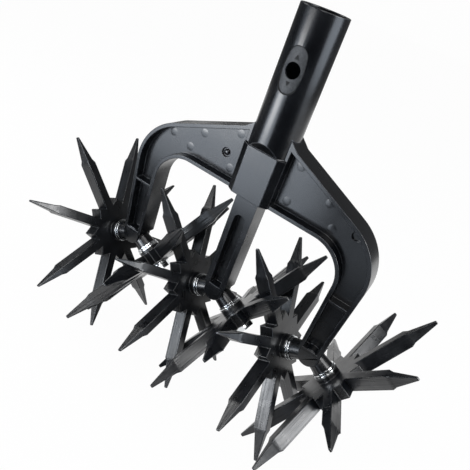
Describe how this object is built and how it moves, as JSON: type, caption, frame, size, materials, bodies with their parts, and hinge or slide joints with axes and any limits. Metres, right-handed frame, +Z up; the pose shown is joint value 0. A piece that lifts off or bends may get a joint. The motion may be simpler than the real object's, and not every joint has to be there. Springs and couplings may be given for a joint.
{
  "type": "rotary hand cultivator",
  "caption": "Rotary hand cultivator head: a moulded fork with a pole socket carries a row of star-shaped tine wheels that spin on drooping stub axles to loosen soil.",
  "frame": {"origin": "centre of the pole socket's mouth, on the socket axis", "axes": "+Z up out of the socket mouth, +X along the row of wheels, -Y to the front, where the button hole is"},
  "size_m": [0.2929, 0.1615, 0.2872],
  "materials": {
    "moulded_abs": "satin black moulding",
    "wheel_nylon": "half-matt black moulding",
    "zinc_steel": "bright zinc"
  },
  "bodies": {
    "frame": {"fork_frame": "moulded_abs", "thrust_washer_left_outer": "zinc_steel", "thrust_washer_left_inner": "zinc_steel", "thrust_washer_centre_left": "zinc_steel", "thrust_washer_centre_right": "zinc_steel", "thrust_washer_right_inner": "zinc_steel", "thrust_washer_right_outer": "zinc_steel", "end_washer_left_outer": "zinc_steel", "end_washer_left_inner": "zinc_steel", "end_washer_centre_left": "zinc_steel", "end_washer_centre_right": "zinc_steel", "end_washer_right_inner": "zinc_steel", "end_washer_right_outer": "zinc_steel", "axle_bolt_left_outer": "zinc_steel", "axle_bolt_left_inner": "zinc_steel", "axle_bolt_centre_left": "zinc_steel", "axle_bolt_centre_right": "zinc_steel", "axle_bolt_right_inner": "zinc_steel", "axle_bolt_right_outer": "zinc_steel"},
    "wheel_left_outer": {"tine_wheel_left_outer": "wheel_nylon", "hub_bush_left_outer": "zinc_steel"},
    "wheel_left_inner": {"tine_wheel_left_inner": "wheel_nylon", "hub_bush_left_inner": "zinc_steel"},
    "wheel_centre_left": {"tine_wheel_centre_left": "wheel_nylon", "hub_bush_centre_left": "zinc_steel"},
    "wheel_centre_right": {"tine_wheel_centre_right": "wheel_nylon", "hub_bush_centre_right": "zinc_steel"},
    "wheel_right_inner": {"tine_wheel_right_inner": "wheel_nylon", "hub_bush_right_inner": "zinc_steel"},
    "wheel_right_outer": {"tine_wheel_right_outer": "wheel_nylon", "hub_bush_right_outer": "zinc_steel"}
  },
  "joints": [
    {"name": "spin_left_outer", "type": "hinge", "parent": "frame", "child": "wheel_left_outer", "pos_m": [-0.10749, 0.00141, -0.2157], "axis": [0.8813, -0.0539, 0.4695], "continuous": true},
    {"name": "spin_left_inner", "type": "hinge", "parent": "frame", "child": "wheel_left_inner", "pos_m": [-0.06131, 0.00141, -0.2157], "axis": [0.8813, 0.0539, -0.4695], "continuous": true},
    {"name": "spin_centre_left", "type": "hinge", "parent": "frame", "child": "wheel_centre_left", "pos_m": [-0.02309, 0.00141, -0.2157], "axis": [0.8813, -0.0539, 0.4695], "continuous": true},
    {"name": "spin_centre_right", "type": "hinge", "parent": "frame", "child": "wheel_centre_right", "pos_m": [0.02309, 0.00141, -0.2157], "axis": [0.8813, 0.0539, -0.4695], "continuous": true},
    {"name": "spin_right_inner", "type": "hinge", "parent": "frame", "child": "wheel_right_inner", "pos_m": [0.06131, 0.00141, -0.2157], "axis": [0.8813, -0.0539, 0.4695], "continuous": true},
    {"name": "spin_right_outer", "type": "hinge", "parent": "frame", "child": "wheel_right_outer", "pos_m": [0.10749, 0.00141, -0.2157], "axis": [0.8813, 0.0539, -0.4695], "continuous": true}
  ],
  "couplings": [
    {"joint": "spin_left_inner", "follows": "spin_left_outer", "ratio": 1},
    {"joint": "spin_centre_left", "follows": "spin_left_outer", "ratio": 1},
    {"joint": "spin_centre_right", "follows": "spin_left_outer", "ratio": 1},
    {"joint": "spin_right_inner", "follows": "spin_left_outer", "ratio": 1},
    {"joint": "spin_right_outer", "follows": "spin_left_outer", "ratio": 1}
  ]
}
